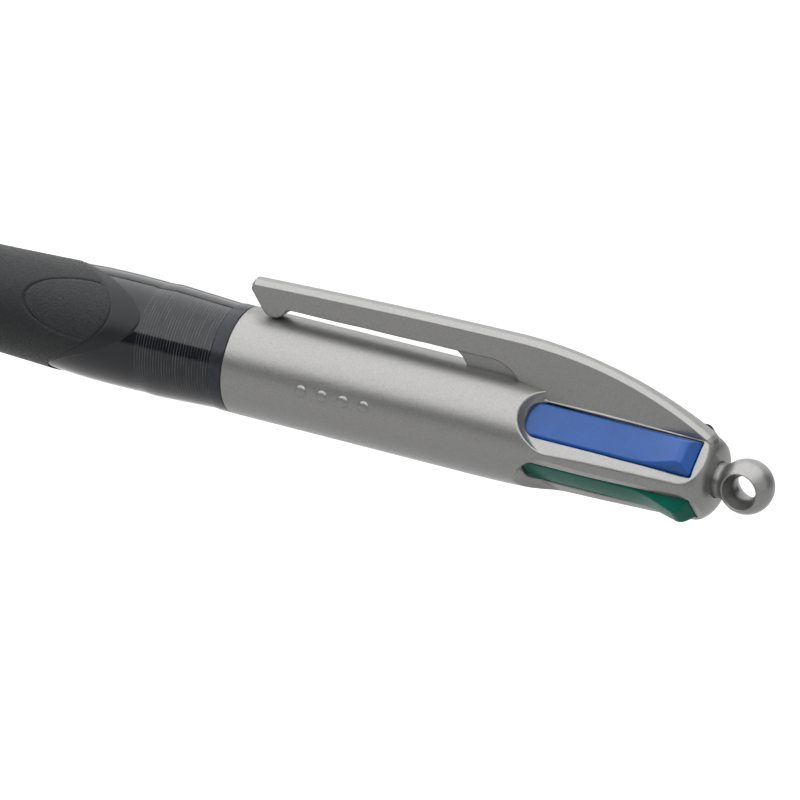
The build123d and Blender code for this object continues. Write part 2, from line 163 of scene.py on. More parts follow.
def segment_distance(px, pz, points, closed):
    """Distance from the points of a field to a polyline."""
    best = None
    count = len(points) if closed else len(points) - 1
    for i in range(count):
        (ax, az), (bx, bz) = points[i], points[(i + 1) % len(points)]
        dx, dz = bx - ax, bz - az
        t = np.clip(((px - ax) * dx + (pz - az) * dz) / (dx * dx + dz * dz), 0, 1)
        d = (px - ax - t * dx) ** 2 + (pz - az - t * dz) ** 2
        best = d if best is None else np.minimum(best, d)
    return np.sqrt(best)


def polygon_field(px, pz, points):
    """Signed distance to a closed outline: negative inside."""
    inside = np.zeros(np.broadcast(px, pz).shape, bool)
    for i in range(len(points)):
        (ax, az), (bx, bz) = points[i], points[(i + 1) % len(points)]
        if az == bz:
            continue
        inside ^= ((az > pz) != (bz > pz)) & (px < (bx - ax) * (pz - az) / (bz - az) + ax)
    d = segment_distance(px, pz, points, True)
    return np.where(inside, -d, d)


def to_slot(y, z, turn):
    """A point in the frame of the slot at that turn: across it, and out from the axis."""
    t = math.radians(turn)
    return y * math.cos(t) + z * math.sin(t), z * math.cos(t) - y * math.sin(t)


# ---- meshes -------------------------------------------------------------------------------
def add_mesh(name, points, faces, materials, face_slots=None, sharp_deg=None):
    """A mesh object from points in millimetres."""
    mesh = bpy.data.meshes.new(name)
    mesh.from_pydata((np.asarray(points) * MM).tolist(), [], faces)
    for material in materials:
        mesh.materials.append(material)
    mesh.polygons.foreach_set("use_smooth", [True] * len(mesh.polygons))
    if face_slots is not None:
        mesh.polygons.foreach_set("material_index", face_slots)
    mesh.update()
    if sharp_deg is not None:
        mesh.set_sharp_from_angle(angle=math.radians(sharp_deg))
    obj = bpy.data.objects.new(name, mesh)
    bpy.context.scene.collection.objects.link(obj)
    return obj


CORNERS = [(i, j, k) for i in (0, 1) for j in (0, 1) for k in (0, 1)]
CELL_EDGES = [
    (a, b) for a in range(8) for b in range(a + 1, 8)
    if sum(p != q for p, q in zip(CORNERS[a], CORNERS[b])) == 1
]
NET_PASSES = 3          # times each point is moved onto the surface
NET_MOVE = 0.08         # the furthest it moves at a time
NET_FLATTEST = 0.05     # the least squared slope it is divided by


def gradient(field, p, step=0.004):
    """Value and gradient of a field at a list of points."""
    x, y, z = p[:, 0], p[:, 1], p[:, 2]
    g = np.stack([
        field(x + step, y, z) - field(x - step, y, z),
        field(x, y + step, z) - field(x, y - step, z),
        field(x, y, z + step) - field(x, y, z - step),
    ], axis=1) / (2 * step)
    return field(x, y, z), g


def net(name, field, xs, ys, zs, materials):
    """A closed mesh of the surface where the field is zero, by surface nets on a box grid."""
    gx, gy, gz = np.meshgrid(xs, ys, zs, indexing="ij", sparse=True)
    values = np.broadcast_to(field(gx, gy, gz), (len(xs), len(ys), len(zs))).astype(np.float32)
    inside = values < 0
    cells = np.zeros(tuple(n - 1 for n in values.shape), np.uint8)
    for i, j, k in CORNERS:
        cells += inside[i:i + cells.shape[0], j:j + cells.shape[1], k:k + cells.shape[2]]
    ci, cj, ck = np.nonzero((cells > 0) & (cells < 8))
    total = np.zeros((len(ci), 3))
    crossings = np.zeros(len(ci))
    axes = (np.asarray(xs), np.asarray(ys), np.asarray(zs))
    for a, b in CELL_EDGES:
        ca, cb = CORNERS[a], CORNERS[b]
        va = values[ci + ca[0], cj + ca[1], ck + ca[2]]
        vb = values[ci + cb[0], cj + cb[1], ck + cb[2]]
        hit = (va < 0) != (vb < 0)
        t = np.where(hit, va / np.where(hit, va - vb, 1), 0)
        for axis, (start, index) in enumerate(zip(ca, (ci, cj, ck))):
            pa = axes[axis][index + start]
            pb = axes[axis][index + cb[axis]]
            total[:, axis] += np.where(hit, pa + t * (pb - pa), 0)
        crossings += hit
    points = total / crossings[:, None]
    for _ in range(NET_PASSES):
        value, slope = gradient(field, points)
        size = np.maximum((slope ** 2).sum(axis=1), NET_FLATTEST)
        move = slope * (value / size)[:, None]
        points -= np.clip(move, -NET_MOVE, NET_MOVE)
    number = np.full(cells.shape, -1, np.int64)
    number[ci, cj, ck] = np.arange(len(ci))
    quads = []
    for axis in range(3):
        near = [slice(1, -1)] * 3
        far = [slice(1, -1)] * 3
        near[axis] = slice(0, -1)
        far[axis] = slice(1, None)
        a, b = inside[tuple(near)], inside[tuple(far)]
        for sign in (True, False):
            e = list(np.nonzero((a == sign) & (b != sign)))
            others = [n for n in range(3) if n != axis]
            for n in others:
                e[n] = e[n] + 1
            around = []
            for du, dv in ((1, 1), (0, 1), (0, 0), (1, 0)):
                c = [e[0].copy(), e[1].copy(), e[2].copy()]
                c[others[0]] -= du
                c[others[1]] -= dv
                around.append(number[tuple(c)])
            quad = np.stack(around, axis=1)
            turn_over = sign if axis != 1 else not sign
            quads.append(quad if turn_over else quad[:, ::-1])
    faces = np.concatenate(quads)
    return add_mesh(name, points, faces.tolist(), materials)


def wheel(name, rows, columns, radius_at, materials, face_slots=None, closed=False,
          sharp_deg=None):
    """A skin round X: rows of (x, radius) for each column angle, from radius_at(row, turns)."""
    turns = np.arange(columns) * math.tau / columns
    points = []
    for row in range(rows):
        x, r = radius_at(row, turns)
        points.append(np.stack([x + 0 * turns, -r * np.sin(turns), r * np.cos(turns)], axis=1))
    ring = np.arange(columns)
    after = (ring + 1) % columns
    faces, slots = [], []
    for row in range(rows if closed else rows - 1):
        lower, upper = row * columns, ((row + 1) % rows) * columns
        quad = np.stack([lower + ring, upper + ring, upper + after, lower + after], axis=1)
        faces.append(quad)
        if face_slots is not None:
            slots.append(face_slots(row, turns))
    slots = np.concatenate(slots).astype(int).tolist() if slots else None
    return add_mesh(name, np.concatenate(points), np.concatenate(faces).tolist(), materials, slots,
                    sharp_deg)


def lathe(name, outline, columns, materials, sharp_deg=40.0):
    """A closed outline of (x, radius) points turned about X."""
    def at(row, turns):
        return outline[row][0], outline[row][1] + 0 * turns
    return wheel(name, len(outline), columns, at, materials, closed=True, sharp_deg=sharp_deg)


def rounded(outline, radius, count=5):
    """A closed outline with every corner rounded off, as far as its sides allow."""
    straight, share = math.radians(172), 0.45
    out = []
    for i, p in enumerate(outline):
        a, b = Vector(outline[i - 1]), Vector(outline[(i + 1) % len(outline)])
        p = Vector(p)
        u, v = (a - p), (b - p)
        angle = u.angle(v)
        if angle > straight:
            out.append(tuple(p))
            continue
        cut = min(radius / math.tan(angle / 2), u.length * share, v.length * share)
        u.normalize()
        v.normalize()
        start, end = p + u * cut, p + v * cut
        for k in range(count + 1):
            t = k / count
            q = start.lerp(p, t).lerp(p.lerp(end, t), t)
            out.append(tuple(q))
    return out


# ---- materials ----------------------------------------------------------------------------
NOISE_LOW, NOISE_HIGH = 0.3, 0.7    # nearly all of a noise texture's values lie between these


def srgb(r, g, b):
    """Linear colour of an sRGB triple given from 0 to 255."""
    def one(c):
        c /= 255
        return c / 12.92 if c <= 0.04045 else ((c + 0.055) / 1.055) ** 2.4
    return (one(r), one(g), one(b), 1.0)


class Nodes:
    """A material's node tree, with short calls for the nodes used here."""

    def __init__(self, name):
        self.material = bpy.data.materials.new(name)
        self.material.use_nodes = True
        self.tree = self.material.node_tree
        self.shader = self.tree.nodes["Principled BSDF"]
        self.coords = self.tree.nodes.new("ShaderNodeTexCoord").outputs["Object"]

    def set(self, **sockets):
        """Constants on the shader's own sockets."""
        for key, value in sockets.items():
            self.shader.inputs[key.replace("_", " ")].default_value = value
        return self

    def link(self, output, socket):
        self.tree.links.new(output, socket)

    def noise(self, per_mm, detail=2.0, stretch=(1, 1, 1), roughness=0.5):
        """Noise with about that many features to the millimetre."""
        scale = self.tree.nodes.new("ShaderNodeVectorMath")
        scale.operation = "MULTIPLY"
        scale.inputs[1].default_value = stretch
        self.link(self.coords, scale.inputs[0])
        node = self.tree.nodes.new("ShaderNodeTexNoise")
        node.inputs["Scale"].default_value = per_mm / MM
        node.inputs["Detail"].default_value = detail
        node.inputs["Roughness"].default_value = roughness
        self.link(scale.outputs[0], node.inputs["Vector"])
        return node.outputs["Fac"]

    def cells(self, per_mm):
        """Flake-like cells: the distance to each one's middle."""
        node = self.tree.nodes.new("ShaderNodeTexVoronoi")
        node.inputs["Scale"].default_value = per_mm / MM
        self.link(self.coords, node.inputs["Vector"])
        return node.outputs["Distance"]

    def math(self, operation, a, b=None):
        node = self.tree.nodes.new("ShaderNodeMath")
        node.operation = operation
        for socket, value in zip(node.inputs, (a, b)):
            if isinstance(value, (int, float)):
                socket.default_value = value
            elif value is not None:
                self.link(value, socket)
        return node.outputs["Value"]

    def thread_lines(self, pitch_mm, start_mm, end_mm):
        """Fine rings round X between two stations: 0 to 1 there, and 0.5 elsewhere."""
        split = self.tree.nodes.new("ShaderNodeSeparateXYZ")
        self.link(self.coords, split.inputs[0])
        x = self.math("MULTIPLY", split.outputs["X"], 1 / MM)
        wave = self.math("SINE", self.math("MULTIPLY", x, math.tau / pitch_mm))
        inside = self.math("MULTIPLY", self.math("GREATER_THAN", x, start_mm),
                           self.math("LESS_THAN", x, end_mm))
        uneven = self.spread(self.noise(0.5, 3, stretch=(4, 1, 1)), 0.02, 0.5)
        rings = self.math("MULTIPLY", self.math("MULTIPLY", wave, inside), uneven)
        return self.math("ADD", rings, 0.5)

    def ramp(self, factor, stops):
        node = self.tree.nodes.new("ShaderNodeValToRGB")
        while len(node.color_ramp.elements) < len(stops):
            node.color_ramp.elements.new(0.5)
        for element, (place, colour) in zip(node.color_ramp.elements, stops):
            element.position = place
            element.color = colour if len(colour) == 4 else (*colour, 1.0)
        self.link(factor, node.inputs["Fac"])
        return node.outputs["Color"]

    def shade(self, noise, low, high):
        """A colour from low to high over a noise's usual values."""
        return self.ramp(noise, [(NOISE_LOW, low), (NOISE_HIGH, high)])

    def spread(self, noise, low, high):
        """A number from low to high over a noise's usual values."""
        node = self.tree.nodes.new("ShaderNodeMapRange")
        node.inputs["From Min"].default_value = NOISE_LOW
        node.inputs["From Max"].default_value = NOISE_HIGH
        node.inputs["To Min"].default_value = low
        node.inputs["To Max"].default_value = high
        self.link(noise, node.inputs["Value"])
        return node.outputs["Result"]

    def bump(self, height, distance_mm, strength=1.0, after=None):
        node = self.tree.nodes.new("ShaderNodeBump")
        node.inputs["Distance"].default_value = distance_mm * MM
        node.inputs["Strength"].default_value = strength
        self.link(height, node.inputs["Height"])
        if after is not None:
            self.link(after, node.inputs["Normal"])
        return node.outputs["Normal"]

    def colour(self, output):
        self.link(output, self.shader.inputs["Base Color"])
        return self

    def rough(self, output):
        self.link(output, self.shader.inputs["Roughness"])
        return self

    def normal(self, output):
        self.link(output, self.shader.inputs["Normal"])
        return self


def mixed(colour, factor):
    """A colour made lighter or darker by a factor."""
    return tuple(min(c * factor, 1.0) for c in colour[:3]) + (1.0,)


def silver_paint():
    """Satin metallic paint: fine flakes, a little orange peel."""
    base = (0.172, 0.171, 0.168, 1.0)
    n = Nodes("silver_paint").set(Metallic=0.85, Specular_IOR_Level=0.3)
    flakes = n.cells(9.0)
    n.colour(n.ramp(flakes, [(0.0, mixed(base, 1.16)), (0.35, base), (0.8, mixed(base, 0.86))]))
    n.rough(n.spread(n.noise(2.5, 3), 0.33, 0.41))
    fine = n.bump(n.noise(14.0, 2), 0.012, 0.5)
    return n.normal(n.bump(n.noise(0.9, 2), 0.02, 0.35, after=fine)).material


def slide_plastic(colour):
    """Tinted gloss plastic of a thumb slide, with faint handling marks."""
    shade, gloss = {
        "blue": ((17, 56, 110), 0.25), "green": ((12, 68, 56), 0.03),
        "red": ((128, 18, 22), 0.03), "black": ((18, 19, 21), 0.03),
    }[colour]
    base = srgb(*shade)
    n = Nodes(f"slide_plastic_{colour}").set(IOR=1.45, Specular_IOR_Level=gloss)
    n.colour(n.shade(n.noise(0.6, 3), mixed(base, 0.92), mixed(base, 1.08)))
    n.rough(n.spread(n.noise(3.0, 4, stretch=(0.25, 1, 1)), 0.18, 0.28))
    return n.normal(n.bump(n.noise(4.0, 2), 0.004, 0.2)).material


def smoke_plastic():
    """Deep smoke-tinted plastic, nearly opaque, with the thread showing as fine rings."""
    n = Nodes("smoke_plastic").set(
        Transmission_Weight=0.2, IOR=1.45, Specular_IOR_Level=0.24
    )
    lines = n.thread_lines(pitch_mm=0.34, start_mm=-72.4, end_mm=-63.4)
    n.colour(n.ramp(lines, [(0.0, (0.001, 0.001, 0.0015)), (0.5, (0.0045, 0.005, 0.0065)),
                            (1.0, (0.036, 0.038, 0.043))]))
    n.rough(n.spread(n.noise(0.6, 2), 0.09, 0.13))
    return n.normal(n.bump(lines, 0.004, 0.5)).material


def dark_gloss():
    """Near-black gloss plastic of the ring between the barrels."""
    n = Nodes("ring_gloss").set(IOR=1.45, Specular_IOR_Level=0.2)
    n.colour(n.shade(n.noise(0.8, 2), (0.008, 0.009, 0.011), (0.012, 0.013, 0.016)))
    n.rough(n.spread(n.noise(2.0, 3), 0.20, 0.30))
    return n.normal(n.bump(n.noise(5.0, 1), 0.004, 0.3)).material


def rubber(name, grain_per_mm, grain_mm, low, high, rough_low, rough_high):
    """Soft black rubber with a moulded grain."""
    n = Nodes(name).set(Specular_IOR_Level=0.17, Sheen_Weight=0.02, Sheen_Roughness=0.5)
    grain = n.noise(grain_per_mm, 3, roughness=0.6)
    n.colour(n.ramp(grain, [(0.35, low), (0.65, high)]))
    n.rough(n.spread(n.noise(grain_per_mm * 0.7, 2), rough_low, rough_high))
    broad = n.bump(n.noise(0.5, 2), 0.03, 0.3)
    return n.normal(n.bump(grain, grain_mm, 0.9, after=broad)).material


def inner_plastic():
    """Dark satin plastic of the parts inside."""
    n = Nodes("inner_plastic")
    n.colour(n.shade(n.noise(1.0, 2), (0.018, 0.018, 0.020), (0.028, 0.028, 0.031)))
    n.rough(n.spread(n.noise(4.0, 2), 0.38, 0.55))
    return n.normal(n.bump(n.noise(7.0, 2), 0.006, 0.4)).material


def metal(name, colour, rough_low, rough_high):
    """Turned metal with fine rings round the pen's axis."""
    n = Nodes(name).set(Metallic=1.0)
    rings = n.noise(20.0, 2, stretch=(1, 0.05, 0.05))
    n.colour(n.shade(rings, mixed(colour, 0.9), mixed(colour, 1.05)))
    n.rough(n.spread(rings, rough_low, rough_high))
    return n.normal(n.bump(rings, 0.003, 0.3)).material


def tube_plastic():
    """Clear, slightly cloudy plastic of the refills' tubes."""
    n = Nodes("refill_tube").set(Transmission_Weight=0.85, IOR=1.45)
    n.colour(n.shade(n.noise(0.8, 2), (0.80, 0.81, 0.80), (0.88, 0.89, 0.88)))
    n.rough(n.spread(n.noise(3.0, 2), 0.12, 0.2))
    return n.normal(n.bump(n.noise(2.0, 1), 0.004, 0.2)).material


def ink(colour):
    """Wet ink."""
    base = {
        "blue": (0.012, 0.03, 0.22), "green": (0.0, 0.09, 0.05),
        "red": (0.25, 0.008, 0.012), "black": (0.004, 0.004, 0.005),
    }[colour]
    n = Nodes(f"ink_{colour}").set(IOR=1.4)
    n.colour(n.shade(n.noise(1.5, 2), mixed(base, 0.85), mixed(base, 1.15)))
    n.rough(n.spread(n.noise(3.0, 2), 0.05, 0.12))
    return n.normal(n.bump(n.noise(3.0, 1), 0.003, 0.2)).material


SILVER = silver_paint()
SMOKE = smoke_plastic()
RING = dark_gloss()
GRIP = rubber(
    "grip_rubber", grain_per_mm=5.0, grain_mm=0.10,
    low=(0.0035, 0.004, 0.0045), high=(0.007, 0.0075, 0.0085), rough_low=0.45, rough_high=0.6,
)
GRIP_PANEL = rubber(
    "grip_panel", grain_per_mm=4.0, grain_mm=0.15,
    low=(0.0045, 0.005, 0.0055), high=(0.009, 0.0095, 0.0105), rough_low=0.45, rough_high=0.55,
)
GRIP_BAND = rubber(
    "grip_band", grain_per_mm=20.0, grain_mm=0.003,
    low=(0.004, 0.0045, 0.005), high=(0.006, 0.0065, 0.0075), rough_low=0.34, rough_high=0.42,
)
INNER = inner_plastic()
SPRING_STEEL = metal("spring_steel", (0.62, 0.62, 0.63), 0.18, 0.32)
HOLDER_METAL = metal("holder_metal", (0.66, 0.62, 0.52), 0.16, 0.3)
BALL_METAL = metal("ball_metal", (0.7, 0.7, 0.72), 0.05, 0.12)
TUBE = tube_plastic()


# ---- silver barrel ------------------------------------------------------------------------
BEND_START, BEND_END = (SHOULDER - 1.5, BARREL_R), (SHOULDER + 2.5, BARREL_R - 0.075)
HOOD_TAPER = (1, -0.0383)
HOOD_CURVE = chain(
    [(BARREL_START, BARREL_R), BEND_START],
    tangent_arc(BEND_START, BEND_END, (1, 0), 6),
    [(HOOD_START, HOOD_START_R)],
    tangent_arc((HOOD_START, HOOD_START_R), (HOOD_END, HOOD_END_R), HOOD_TAPER, 24),
)
HOOD_XS, HOOD_RS = (np.array(v) for v in zip(*HOOD_CURVE))
# the pockets' rounded inner corners: wide at their front ends and tight along their sides
POCKET_FILLET = ([-25.0, -22.5], [0.8, 0.22])
# how far their walls lean outwards for each millimetre of height, as a moulded wall does
POCKET_LEAN = ([-25.0, -22.0], [0.5, 0.3])
# and how far their floors dip towards the lanyard end
FLOOR_DIP = ([-17.0, -6.0], [0.0, 0.26])
DOME_EDGE, MOUTH_EDGE, POCKET_EDGE, SLOT_EDGE = 0.5, 0.12, 0.16, 0.10
SLOT_MIDDLE, SLOT_SQUARE_CORNER, SLOT_DEPTH_FROM = -15.0, 0.1, 2.0


def barrel_radius(x):
    return np.interp(x, HOOD_XS, HOOD_RS)


def barrel_field(x, y, z):
    """The silver barrel: turned outside, four pockets and slots, stepped bore."""
    r = np.sqrt(y * y + z * z)
    dx = 0.02
    slope = (barrel_radius(x + dx) - barrel_radius(x - dx)) / (2 * dx)
    body = (r - barrel_radius(x)) / np.sqrt(1 + slope * slope)
    body = smax(body, x - HOOD_END, DOME_EDGE)
    body = smax(body, BARREL_START - x, MOUTH_EDGE)
    fillet = np.interp(x, *POCKET_FILLET)
    floor = FLAT_HEIGHT - np.interp(x, *FLOOR_DIP)
    for turn in SLOT_TURNS.values():
        across, out = to_slot(y, z, turn)
        centre = POCKET_START + POCKET_HALF
        ahead = np.minimum(x - centre, 0)
        tongue = np.sqrt(ahead * ahead + across * across) - POCKET_HALF
        tongue = tongue - np.interp(x, *POCKET_LEAN) * np.clip(out - floor, 0, None)
        pocket = smax(tongue, floor - out, fillet)
        body = smax(body, -pocket, POCKET_EDGE)
    bore = np.where(x < HOOD_BORE_START, MAIN_BORE_R, HOOD_BORE_R)
    bore = np.where(x < SOCKET_END, SOCKET_R, bore)
    # beyond the hood's end wall only the neck's round hole goes on
    hollow = np.where(x < HOOD_WALL, r - bore, np.maximum(r - NECK_R, HOOD_WALL - x))
    body = np.maximum(body, -hollow)
    for turn in SLOT_TURNS.values():
        across, out = to_slot(y, z, turn)
        qx = np.abs(x - (SLOT_START + SLOT_END) / 2) - (SLOT_END - SLOT_START) / 2
        qy = np.abs(across) - SLOT_HALF
        # round at the slot's front end, nearly square at its rear end
        corner = np.where(x < SLOT_MIDDLE, SLOT_CORNER, SLOT_SQUARE_CORNER)
        ex, ey = np.maximum(qx + corner, 0), np.maximum(qy + corner, 0)
        window = np.sqrt(ex * ex + ey * ey) + np.minimum(np.maximum(qx, qy) + corner, 0) - corner
        slot = np.maximum(window, SLOT_DEPTH_FROM - out)
        body = smax(body, -slot, SLOT_EDGE)
    return body


def spaced(*stretches):
    """Grid lines from stretches of (start, end, step), each joined to the next."""
    lines = []
    for start, end, step in stretches:
        count = max(1, round(abs(end - start) / step))
        lines.extend(np.linspace(start, end, count, endpoint=False))
    lines.append(stretches[-1][1])
    return np.array(lines)


def make_barrel():
    """The silver barrel, on a grid finest at its mouth, the pockets' fronts and the dome."""
    step = 0.12
    xs = spaced((-62.0, -61.0, 0.12), (-61.0, -31.0, 1.0), (-31.0, -26.8, 0.3),
                (-26.8, -24.0, step), (-24.0, -6.4, 0.2), (-6.4, -2.5, step * 0.75))
    across = spaced((-6.5, 6.5, step))
    barrel = net("silver_barrel", barrel_field, xs, across, across, [SILVER])
    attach(barrel, "upper")
    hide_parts("upper_barrel")


# ---- clip ---------------------------------------------------------------------------------
CLIP_TIP_TOP, CLIP_CREST, CLIP_TAIL = (-60.8, 10.0), (-28.7, 10.9), (-4.5, 4.93)
CLIP_BACK = arc3(CLIP_TIP_TOP, (-44.0, 10.6), CLIP_CREST, 30)
CLIP_CROWN = chain(
    [(-61.2, 9.35)],
    CLIP_BACK,
    tangent_arc(CLIP_CREST, CLIP_TAIL,
                (CLIP_BACK[-1][0] - CLIP_BACK[-2][0], CLIP_BACK[-1][1] - CLIP_BACK[-2][1]), 30),
    [(-4.1, 4.5), (-3.8, 3.9)],
)
CLIP_OUTLINE = chain(
    CLIP_CROWN,
    [(-4.6, 3.9), (-27.4, 4.6)],
    arc3((-27.6, 5.9), (-29.1, 7.3), (-31.6, 7.8), 8),
    [(-56.0, 7.5)],
    arc3((-56.5, 7.35), (-57.9, 6.25), (-59.4, 6.9), 12),
)
CLIP_WEB = chain(
    arc3((-36.4, 7.9), (-35.0, 7.1), (-34.1, 5.8), 10),
    [(-34.1, 5.2), (-26.0, 5.2), (-26.0, 9.0), (-36.4, 9.0)],
)
CLIP_WEB_HALF = 0.6
# the fin gets thinner and its crown flatter towards the lanyard end
FIN_HALF = ([-26.0, -8.0], [CLIP_HALF, 1.0])
CROWN_DROP = ([-24.0, -8.0], [0.42, 0.24])
CROWN_WIDTH = 0.7
# the fin's sides have a little draft, so it is thickest where it stands between two flats
FIN_DRAFT = ([-27.5, -25.5], [0.0, 0.24])
DRAFT_TOP, DRAFT_HEIGHT = 9.6, 4.7
CLIP_EDGE, CROWN_EDGE, WEB_EDGE, WEB_FILLET = 0.10, 0.07, 0.08, 0.12


def clip_field(x, y, z):
    """The clip and its fin, with a chamfered crown and a narrower web at its root."""
    side = np.abs(y)
    half = np.interp(x, *FIN_HALF)
    half = half + np.interp(x, *FIN_DRAFT) * np.clip((DRAFT_TOP - z) / DRAFT_HEIGHT, 0, 1)
    drop = np.interp(x, *CROWN_DROP)
    outline = polygon_field(x, z, CLIP_OUTLINE)
    body = smax(outline, side - half, CLIP_EDGE)
    crown = segment_distance(x, z, CLIP_CROWN, False)
    crown = np.where(outline < 0, -crown, crown)
    facet = (drop * (side - half) + CROWN_WIDTH * (crown + drop)) / np.hypot(drop, CROWN_WIDTH)
    body = smax(body, facet, CROWN_EDGE)
    web = smax(polygon_field(x, z, CLIP_WEB), side - CLIP_WEB_HALF, WEB_EDGE)
    return smin(body, web, WEB_FILLET)


def make_clip():
    """The clip with its fin, meeting the barrel at the web."""
    step = 0.1
    xs = spaced((-61.6, -3.6, step))
    ys = spaced((-1.7, 1.7, step))
    zs = spaced((3.7, 11.5, step))
    clip = net("silver_clip", clip_field, xs, ys, zs, [SILVER])
    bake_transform(clip)
    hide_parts("clip_arm")


# ---- plain raised pips on the barrel's side -------------------------------------------------
PIP_COUNT, PIP_FIRST_X, PIP_SPACING, PIP_TURN = 4, -51.6, 2.6, 84.0
PIP_PROFILE = [                        # radius, and height over the barrel's surface
    (0.0, 0.18), (0.25, 0.175), (0.42, 0.155), (0.55, 0.115), (0.64, 0.055), (0.7, -0.02),
    (0.72, -0.2),
]


def make_pips():
    """Low round pips in a row, moulded on the barrel."""
    turn = math.radians(PIP_TURN)
    outward = Vector((0, -math.sin(turn), math.cos(turn)))
    lengthways = Vector((1, 0, 0))
    sideways = lengthways.cross(outward)
    segments = 36
    points, faces = [], []
    for pip in range(PIP_COUNT):
        centre = Vector((PIP_FIRST_X + PIP_SPACING * pip, 0, 0))
        base = len(points)
        for radius, height in PIP_PROFILE[1:]:
            for k in range(segments):
                a = math.tau * k / segments
                flat = lengthways * (radius * math.cos(a)) + sideways * (radius * math.sin(a))
                lift = math.sqrt(BARREL_R ** 2 - (radius * math.sin(a)) ** 2)
                points.append(centre + flat + outward * (lift + height))
        points.append(centre + outward * (BARREL_R + PIP_PROFILE[0][1]))
        top = len(points) - 1
        for k in range(segments):
            after = (k + 1) % segments
            faces.append((top, base + k, base + after))
            for ring in range(len(PIP_PROFILE) - 2):
                lower, upper = base + ring * segments, base + (ring + 1) * segments
                faces.append((lower + k, upper + k, upper + after, lower + after))
    pips = add_mesh("barrel_pips", [tuple(p) for p in points], faces, [SILVER])
    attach(pips, "upper")


# ---- lanyard ball ---------------------------------------------------------------------------
HOLE_DISTANCE = [0.0, 0.35, 0.7, 1.1, 1.6, 2.1, 2.6, 4.0]       # from the middle, along the hole
HOLE_R = [1.33, 1.33, 1.40, 1.56, 1.80, 2.02, 2.14, 2.3]
HOLE_SLOPE_ALLOWANCE, HOLE_EDGE = 0.88, 0.16
NECK_START, NECK_PLAY, NECK_FILLET = -4.5, 0.03, 0.35


def ball_field(x, y, z):
    """The ball and its neck, with a hole along Y that has a dish at each end."""
    ball = np.sqrt(x * x + y * y + z * z) - BALL_R
    around = np.sqrt(y * y + z * z)
    neck = np.maximum(around - (NECK_R - NECK_PLAY), np.maximum(NECK_START - x, x))
    body = smin(ball, neck, NECK_FILLET)
    funnel = np.sqrt(x * x + z * z) - np.interp(np.abs(y), HOLE_DISTANCE, HOLE_R)
    return smax(body, -funnel * HOLE_SLOPE_ALLOWANCE, HOLE_EDGE)


def make_ball():
    """The lanyard ball."""
    step = 0.09
    xs = spaced((-4.7, 3.3, step))
    across = spaced((-3.3, 3.3, step))
    ball = net("lanyard_ball", ball_field, xs, across, across, [SILVER])
    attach(ball, "upper")
    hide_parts("lanyard_ring")


# ---- thumb slides ---------------------------------------------------------------------------
SLAB_START, SLAB_END, RAMP_START = -33.0, -5.03, -12.3
SLAB_HALF, SLAB_FLOOR, SLAB_TOP, PAD_TOP = 2.17, 2.85, 4.38, 5.47
SLIDE_OUTLINE = chain(
    [(SLAB_START, SLAB_FLOOR), (SLAB_START, SLAB_TOP), (RAMP_START, SLAB_TOP)],
    tangent_arc((RAMP_START, SLAB_TOP), (-9.2, SLAB_TOP + 0.42), (1, 0), 12),
    arc3((-6.95, PAD_TOP - 0.05), (-6.25, PAD_TOP), (-5.68, PAD_TOP - 0.42), 8),
    [(SLAB_END, SLAB_TOP - 0.3), (SLAB_END, SLAB_FLOOR)],
)
SLAB_CROWN, SLAB_EDGE = 0.09, 0.5
BEVEL_FROM, BEVEL_LEAN, BEVEL_EDGE = SLAB_TOP - 0.35, 0.56, 0.22


def slide_field(x, across, out):
    """A slide's slab and pad: crowned across, and with bevels that narrow the pad upwards."""
    side = np.abs(across)
    body = polygon_field(x, out + SLAB_CROWN * (side / SLAB_HALF) ** 2, SLIDE_OUTLINE)
    body = smax(body, side - SLAB_HALF, SLAB_EDGE)
    bevel = (side - SLAB_HALF) + BEVEL_LEAN * (out - BEVEL_FROM)
    return smax(body, bevel / math.hypot(1.0, BEVEL_LEAN), BEVEL_EDGE)


def make_slides():
    """Four slides of one shape, each turned to its own slot."""
    step = 0.11
    xs = spaced((-33.3, -27.0, 3 * step), (-27.0, -12.5, 2 * step), (-12.5, -4.7, 0.7 * step))
    ys = spaced((-2.4, 2.4, step))
    zs = spaced((2.6, 5.7, step))
    first = net("slide_top_blue", slide_field, xs, ys, zs, [slide_plastic("blue")])
    for colour in COLOURS[1:]:
        obj = bpy.data.objects.new(f"slide_top_{colour}", first.data.copy())
        obj.data.materials[0] = slide_plastic(colour)
        bpy.context.scene.collection.objects.link(obj)
    for colour in COLOURS:
        obj = bpy.data.objects[f"slide_top_{colour}"]
        obj.data.transform(Matrix.Rotation(math.radians(SLOT_TURNS[colour]), 4, "X"))
        boss = slide_boss(colour, obj.data.materials[0])
        for piece in (obj, boss):
            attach(piece, f"slide_{colour}")
        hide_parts(f"slide_{colour}")


def slide_boss(colour, material):
    """The round stem under a slide that pushes its refill, with collar and peg."""
    centre, stem, collar, peg = 0.02, 1.6, 1.85, 0.93
    outline = rounded([
        (-30.0, centre), (-30.0, stem), (-37.2, stem), (-37.2, collar), (-38.0, collar),
        (-38.0, peg), (-42.9, peg), (-42.95, centre),
    ], 0.12)
    boss = lathe(f"slide_stem_{colour}", outline, 40, [material])
    place_on_slot(boss, colour)
    return boss


def place_on_slot(obj, colour):
    """Moves a mesh made round X out to the axis of a slide's stem."""
    turn = Matrix.Rotation(math.radians(SLOT_TURNS[colour]), 4, "X")
    obj.data.transform(turn @ Matrix.Translation((0, 0, STEM_OUT * MM)))


